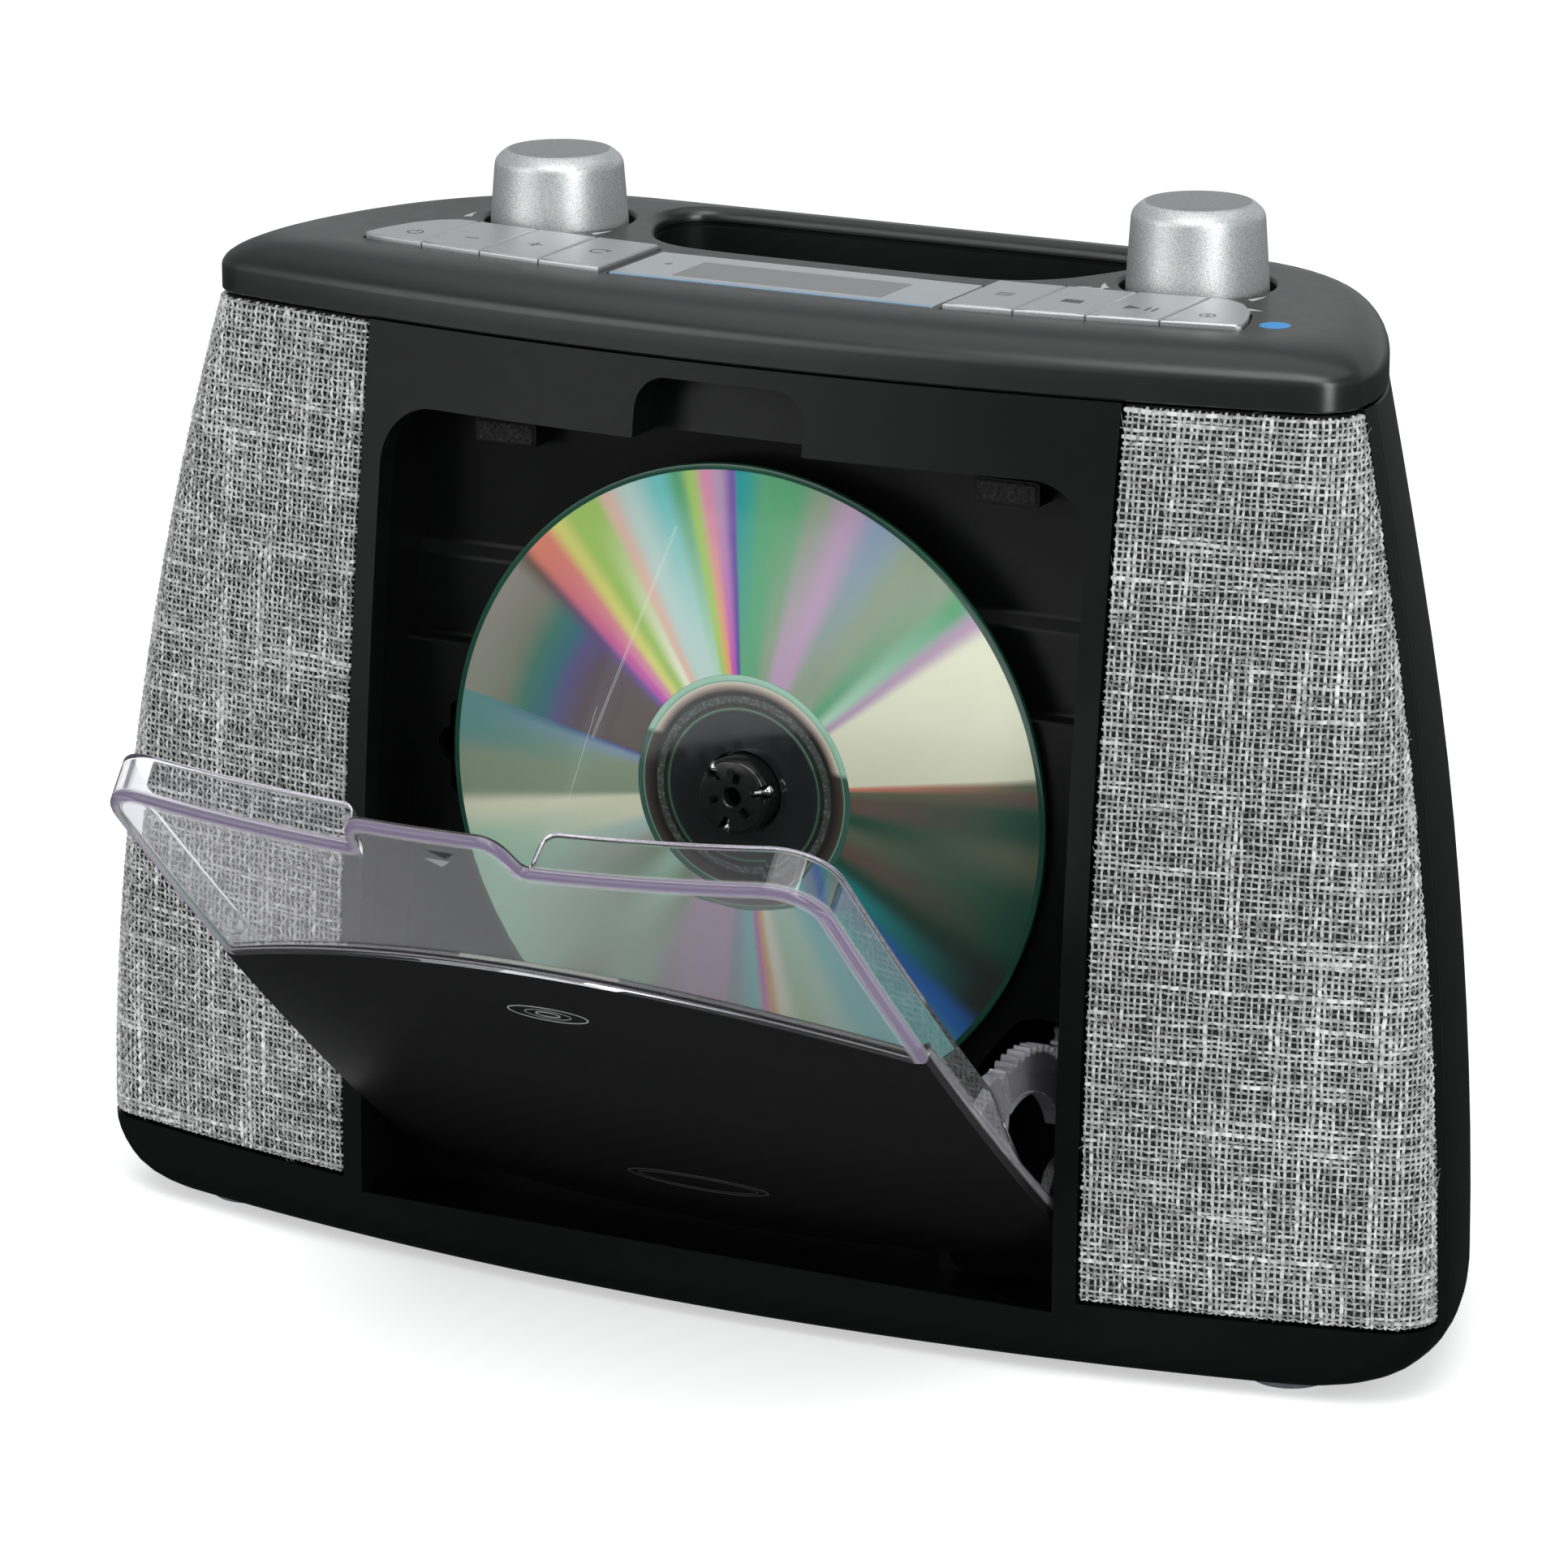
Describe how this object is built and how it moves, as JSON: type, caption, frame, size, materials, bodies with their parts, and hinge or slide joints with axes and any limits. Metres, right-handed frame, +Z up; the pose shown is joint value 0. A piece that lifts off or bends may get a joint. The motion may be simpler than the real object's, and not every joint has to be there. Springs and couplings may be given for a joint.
{
  "type": "portable cd player",
  "caption": "Portable disc player with a fold-down clear front door, cloth speaker grilles, a carrying slot, knobs and keys on its top",
  "frame": {"origin": "middle of the outer box (door open) in plan, on the surface that the feet rest on", "axes": "+Z up, front face and door towards -Y, +X to the right seen from the front"},
  "size_m": [0.2708, 0.2072, 0.1988],
  "materials": {
    "satin_black": "moulded ABS, fine satin texture",
    "bay_black": "moulded ABS, smooth matt",
    "linen_cloth": "plain linen weave, light and dark grey melange",
    "clear_acrylic": "clear moulded acrylic with a faint lilac edge",
    "gloss_black": "semi-gloss black, polished top edge",
    "silver_paint": "fine silver metallic paint on moulded plastic",
    "disc_mirror": "iridescent reflective disc",
    "steel": "plain bright steel",
    "grey_rubber": "grey-blue rubber",
    "dark_foam": "dark grey foam rubber",
    "lcd_plastic": "pale blue-grey tinted window",
    "lcd_module": "reflective display module",
    "circuit_board": "green solder mask",
    "ferrite": "sintered ferrite magnet",
    "paper_cone": "pressed paper",
    "acetal_gear": "natural acetal",
    "lens_glass": "coated lens"
  },
  "bodies": {
    "cabinet": {"base_plate": "satin_black", "battery_tray": "bay_black", "cd_deck": "bay_black", "damper_body": "bay_black", "dc_socket": "bay_black", "deck_pad_left": "dark_foam", "deck_pad_right": "dark_foam", "foot_front_left": "grey_rubber", "foot_front_right": "grey_rubber", "foot_rear_left": "grey_rubber", "foot_rear_right": "grey_rubber", "front_cabinet": "satin_black", "grille_cloth_left": "linen_cloth", "grille_cloth_right": "linen_cloth", "grille_panel_left": "bay_black", "grille_panel_right": "bay_black", "guide_rod_lower": "steel", "guide_rod_upper": "steel", "handle_well": "satin_black", "key_board": "circuit_board", "lcd_module": "lcd_module", "lcd_window": "lcd_plastic", "main_board": "circuit_board", "mechanism_plate": "steel", "rear_cabinet": "satin_black", "sled_motor": "steel", "speaker_basket_left": "steel", "speaker_basket_right": "steel", "speaker_cone_left": "paper_cone", "speaker_cone_right": "paper_cone", "speaker_magnet_left": "ferrite", "speaker_magnet_right": "ferrite", "spindle_motor": "steel", "top_cap": "satin_black", "tuning_control": "steel", "volume_control": "steel"},
    "door": {"door_window": "clear_acrylic", "door_fascia": "gloss_black"},
    "damper_gear": {"damper_pinion": "acetal_gear"},
    "disc_drive": {"compact_disc": "disc_mirror", "turntable": "bay_black", "clamp_ball_1": "steel", "clamp_ball_2": "steel", "clamp_ball_3": "steel"},
    "pickup": {"pickup_sled": "bay_black", "pickup_lens": "lens_glass"},
    "sled_drive": {"sled_gear": "acetal_gear"},
    "volume_control_knob": {"volume_knob": "silver_paint", "volume_shaft": "steel"},
    "tuning_control_knob": {"tuning_knob": "silver_paint", "tuning_shaft": "steel"},
    "battery_door": {"battery_cover": "satin_black"},
    "power_key": {"power_button": "silver_paint"},
    "memory_key": {"memory_button": "silver_paint"},
    "random_key": {"random_button": "silver_paint"},
    "repeat_key": {"repeat_button": "silver_paint"},
    "program_key": {"program_button": "silver_paint"},
    "stop_key": {"stop_button": "silver_paint"},
    "play_key": {"play_button": "silver_paint"},
    "source_key": {"source_button": "silver_paint"}
  },
  "joints": [
    {"name": "door_hinge", "type": "hinge", "parent": "cabinet", "child": "door", "pos_m": [0, 0.00128, 0.0336], "axis": [1, 0, 0], "range_deg": [-52.7, 0]},
    {"name": "damper_spin", "type": "hinge", "parent": "cabinet", "child": "damper_gear", "pos_m": [0.0603, 0.0228, 0.05166], "axis": [1, 0, 0], "range_deg": [0, 255]},
    {"name": "disc_spin", "type": "hinge", "parent": "cabinet", "child": "disc_drive", "pos_m": [0, 0.01158, 0.09377], "axis": [0, 1, 0], "continuous": true},
    {"name": "pickup_slide", "type": "slide", "parent": "cabinet", "child": "pickup", "axis": [-1, 0, 0], "range_m": [0, 0.032]},
    {"name": "sled_gear_turn", "type": "hinge", "parent": "cabinet", "child": "sled_drive", "pos_m": [-0.03, 0.01158, 0.07047], "axis": [0, 1, 0], "range_deg": [-328, 0]},
    {"name": "volume_turn", "type": "hinge", "parent": "cabinet", "child": "volume_control_knob", "pos_m": [-0.06508, 0.06161, 0.1836], "axis": [0, 0, 1], "range_deg": [-150, 150]},
    {"name": "tuning_turn", "type": "hinge", "parent": "cabinet", "child": "tuning_control_knob", "pos_m": [0.06508, 0.06161, 0.1836], "axis": [0, 0, 1], "continuous": true},
    {"name": "battery_cover_lift", "type": "slide", "parent": "cabinet", "child": "battery_door", "axis": [0, 1, 0], "range_m": [0, 0.03]},
    {"name": "power_press", "type": "slide", "parent": "cabinet", "child": "power_key", "axis": [0, 0, -1], "range_m": [0, 0.0008], "stiffness_N_per_m": 500},
    {"name": "memory_press", "type": "slide", "parent": "cabinet", "child": "memory_key", "axis": [0, 0, -1], "range_m": [0, 0.0008], "stiffness_N_per_m": 500},
    {"name": "random_press", "type": "slide", "parent": "cabinet", "child": "random_key", "axis": [0, 0, -1], "range_m": [0, 0.0008], "stiffness_N_per_m": 500},
    {"name": "repeat_press", "type": "slide", "parent": "cabinet", "child": "repeat_key", "axis": [0, 0, -1], "range_m": [0, 0.0008], "stiffness_N_per_m": 500},
    {"name": "program_press", "type": "slide", "parent": "cabinet", "child": "program_key", "axis": [0, 0, -1], "range_m": [0, 0.0008], "stiffness_N_per_m": 500},
    {"name": "stop_press", "type": "slide", "parent": "cabinet", "child": "stop_key", "axis": [0, 0, -1], "range_m": [0, 0.0008], "stiffness_N_per_m": 500},
    {"name": "play_press", "type": "slide", "parent": "cabinet", "child": "play_key", "axis": [0, 0, -1], "range_m": [0, 0.0008], "stiffness_N_per_m": 500},
    {"name": "source_press", "type": "slide", "parent": "cabinet", "child": "source_key", "axis": [0, 0, -1], "range_m": [0, 0.0008], "stiffness_N_per_m": 500}
  ],
  "couplings": [
    {"joint": "damper_spin", "follows": "door_hinge", "ratio": -4.8333},
    {"joint": "sled_gear_turn", "follows": "pickup_slide", "rad_per_m": -178.57}
  ]
}
